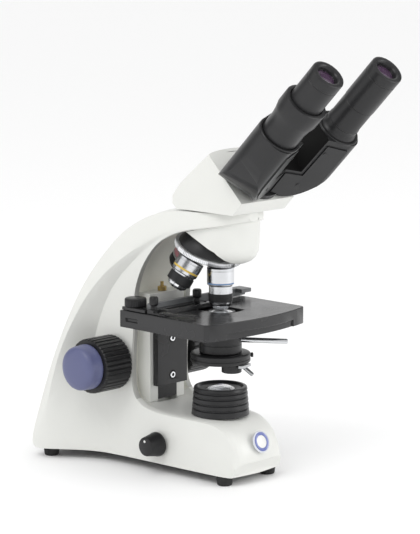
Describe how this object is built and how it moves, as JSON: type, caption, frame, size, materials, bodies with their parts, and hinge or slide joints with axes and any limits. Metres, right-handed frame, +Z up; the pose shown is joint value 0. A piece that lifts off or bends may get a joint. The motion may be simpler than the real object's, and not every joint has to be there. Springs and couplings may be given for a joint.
{
  "type": "binocular microscope",
  "caption": "Compound microscope: curved white stand, tilted binocular head, black turret with objectives, square stage with slide holder, condenser and focus knobs.",
  "frame": {"origin": "on the table, under the middle of the whole microscope seen from above", "axes": "+Z up, +Y away from the user towards the arm's back, +X to the user's right"},
  "size_m": [0.1666, 0.3328, 0.3546],
  "materials": {
    "white_paint": "smooth semi-gloss white enamel, faintly grained, a little greyer on the edges",
    "black_paint": "fine textured satin black enamel",
    "stage_paint": "baked satin black enamel, worn slightly shinier where slides are pushed",
    "foot_rubber": "matt moulded rubber",
    "knob_plastic": "matt moulded black plastic with a fluted grip",
    "fine_knob_plastic": "satin slate blue plastic",
    "eyepiece_plastic": "satin black, lightly brushed round the barrel",
    "chrome": "turned and polished, bright",
    "objective_steel": "satin turned barrels with black, coloured and knurled bands",
    "steel": "turned steel",
    "brass": "plain turned brass, slightly dull",
    "optical_glass": "coated clear glass",
    "grey_rail": "satin grey paint",
    "electric_plastic": "moulded black plastic",
    "board": "green circuit board with a white lamp",
    "badge": "glossy blue disc without a mark"
  },
  "bodies": {
    "stand": {"stand_casting": "white_paint", "base_plate": "black_paint", "foot_front_left": "foot_rubber", "foot_front_right": "foot_rubber", "foot_rear_left": "foot_rubber", "foot_rear_right": "foot_rubber", "nosepiece_housing": "white_paint", "nosepiece_base": "black_paint", "guide_block": "white_paint", "collector_housing": "black_paint", "collector_lens": "optical_glass", "lamp_board": "board", "dimmer_potentiometer": "electric_plastic", "dc_inlet": "electric_plastic", "front_badge": "badge"},
    "rocker": {"power_rocker": "electric_plastic"},
    "brightness": {"brightness_knob": "knob_plastic"},
    "coarse": {"coarse_pinion_shaft": "steel", "coarse_knob_left": "knob_plastic", "coarse_knob_right": "knob_plastic"},
    "fine": {"fine_shaft": "steel", "fine_knob_left": "fine_knob_plastic", "fine_knob_right": "fine_knob_plastic"},
    "carriage": {"carriage_plate": "stage_paint", "carriage_slide": "black_paint", "stage_bracket": "black_paint", "stage_plate": "stage_paint"},
    "stop_screw": {"stage_stop_screw": "brass"},
    "lock_screw": {"head_lock_screw": "steel"},
    "head": {"head_housing": "white_paint", "head_dovetail": "steel", "fold_hub": "black_paint", "beamsplitter_prism": "optical_glass"},
    "right_tube": {"right_tube_housing": "black_paint", "right_tube_cover": "black_paint", "right_eyepiece_sleeve": "black_paint"},
    "left_tube": {"left_tube_housing": "black_paint", "left_tube_cover": "black_paint"},
    "diopter": {"diopter_ring": "knob_plastic"},
    "right_ocular": {"right_eyepiece": "eyepiece_plastic", "right_eye_lens": "optical_glass"},
    "left_ocular": {"left_eyepiece": "eyepiece_plastic", "left_eye_lens": "optical_glass"},
    "turret": {"turret_cone": "black_paint", "turret_rim": "chrome", "objective_4x": "objective_steel", "objective_10x": "objective_steel", "objective_40x": "objective_steel", "objective_100x": "objective_steel"},
    "cross_slide": {"cross_slide_base": "stage_paint", "cross_slide_rail": "grey_rail"},
    "drive_knob": {"slide_drive_knob": "knob_plastic"},
    "holder": {"slide_holder": "stage_paint"},
    "finger": {"slide_finger": "stage_paint"},
    "left_thumb": {"thumb_screw_left": "knob_plastic"},
    "right_thumb": {"thumb_screw_right": "knob_plastic"},
    "condenser": {"condenser_body": "black_paint", "condenser_lens": "optical_glass"},
    "condenser_lift": {"condenser_ring": "black_paint"},
    "iris": {"iris_lever": "chrome"}
  },
  "joints": [
    {"name": "stage_lift", "type": "slide", "parent": "stand", "child": "carriage", "axis": [0, 0, 1], "range_m": [-0.007, 0]},
    {"name": "coarse_focus", "type": "hinge", "parent": "stand", "child": "coarse", "pos_m": [0, 0.0794, 0.0883], "axis": [1, 0, 0], "range_deg": [-0.5, 67.5]},
    {"name": "fine_focus", "type": "hinge", "parent": "stand", "child": "fine", "pos_m": [0, 0.0794, 0.0883], "axis": [1, 0, 0], "continuous": true},
    {"name": "head_swivel", "type": "hinge", "parent": "stand", "child": "head", "pos_m": [0, -0.0106, 0.225], "axis": [0, 0, 1], "continuous": true},
    {"name": "tube_fold_right", "type": "hinge", "parent": "head", "child": "right_tube", "pos_m": [0, -0.04822, 0.25512], "axis": [0, -0.7071, 0.7071], "range_deg": [0, 68]},
    {"name": "tube_fold_left", "type": "hinge", "parent": "head", "child": "left_tube", "pos_m": [0, -0.04822, 0.25512], "axis": [0, -0.7071, 0.7071], "range_deg": [-68, 0]},
    {"name": "diopter_turn", "type": "hinge", "parent": "left_tube", "child": "diopter", "pos_m": [-0.0351, -0.11624, 0.30448], "axis": [0, -0.7071, 0.7071], "range_deg": [-90, 90]},
    {"name": "left_eyepiece_pull", "type": "slide", "parent": "diopter", "child": "left_ocular", "axis": [0, -0.7071, 0.7071], "range_m": [0, 0.03]},
    {"name": "right_eyepiece_pull", "type": "slide", "parent": "right_tube", "child": "right_ocular", "axis": [0, -0.7071, 0.7071], "range_m": [0, 0.03]},
    {"name": "turret_turn", "type": "hinge", "parent": "stand", "child": "turret", "pos_m": [0, -0.0106, 0.2226], "axis": [0, 0.3746, -0.9272], "continuous": true},
    {"name": "cross_slide_y", "type": "slide", "parent": "carriage", "child": "cross_slide", "axis": [0, 1, 0], "range_m": [-0.005, 0.008]},
    {"name": "holder_x", "type": "slide", "parent": "cross_slide", "child": "holder", "axis": [1, 0, 0], "range_m": [-0.015, 0.012]},
    {"name": "drive_knob_turn", "type": "hinge", "parent": "cross_slide", "child": "drive_knob", "pos_m": [-0.05, 0.0394, 0.145], "axis": [0, 0, 1], "range_deg": [-96, 77]},
    {"name": "finger_open", "type": "hinge", "parent": "holder", "child": "finger", "pos_m": [-0.0535, 0.0024, 0.142], "axis": [0, 0, 1], "range_deg": [-25, 0], "stiffness_Nm_per_rad": 0.02, "springref_deg": 11.46},
    {"name": "left_thumb_turn", "type": "hinge", "parent": "holder", "child": "left_thumb", "pos_m": [-0.053, 0.0148, 0.15], "axis": [0, 0, 1], "continuous": true},
    {"name": "right_thumb_turn", "type": "hinge", "parent": "holder", "child": "right_thumb", "pos_m": [-0.002, 0.0148, 0.15], "axis": [0, 0, 1], "continuous": true},
    {"name": "condenser_height", "type": "slide", "parent": "carriage", "child": "condenser", "axis": [0, 0, 1], "range_m": [-0.003, 0]},
    {"name": "condenser_lever", "type": "hinge", "parent": "carriage", "child": "condenser_lift", "pos_m": [0, -0.0106, 0.115], "axis": [0, 0, 1], "range_deg": [-0.5, 61]},
    {"name": "iris_turn", "type": "hinge", "parent": "condenser", "child": "iris", "pos_m": [0, -0.0106, 0.095], "axis": [0, 0, 1], "range_deg": [-20, 40]},
    {"name": "brightness_turn", "type": "hinge", "parent": "stand", "child": "brightness", "pos_m": [-0.0386, 0.0256, 0.0255], "axis": [1, 0, 0], "range_deg": [-150, 120]},
    {"name": "rocker_tip", "type": "hinge", "parent": "stand", "child": "rocker", "pos_m": [0.022, 0.1618, 0.027], "axis": [1, 0, 0], "range_deg": [-8, 8]},
    {"name": "head_lock_turn", "type": "hinge", "parent": "stand", "child": "lock_screw", "pos_m": [0.032, -0.0106, 0.2195], "axis": [1, 0, 0], "continuous": true},
    {"name": "stop_screw_turn", "type": "hinge", "parent": "stand", "child": "stop_screw", "pos_m": [0, 0.0584, 0.15], "axis": [0, 0, 1], "continuous": true}
  ],
  "couplings": [
    {"joint": "coarse_focus", "follows": "stage_lift", "rad_per_m": -166.67},
    {"joint": "tube_fold_left", "follows": "tube_fold_right", "ratio": -1},
    {"joint": "drive_knob_turn", "follows": "holder_x", "rad_per_m": 111},
    {"joint": "condenser_lever", "follows": "condenser_height", "rad_per_m": -350}
  ]
}
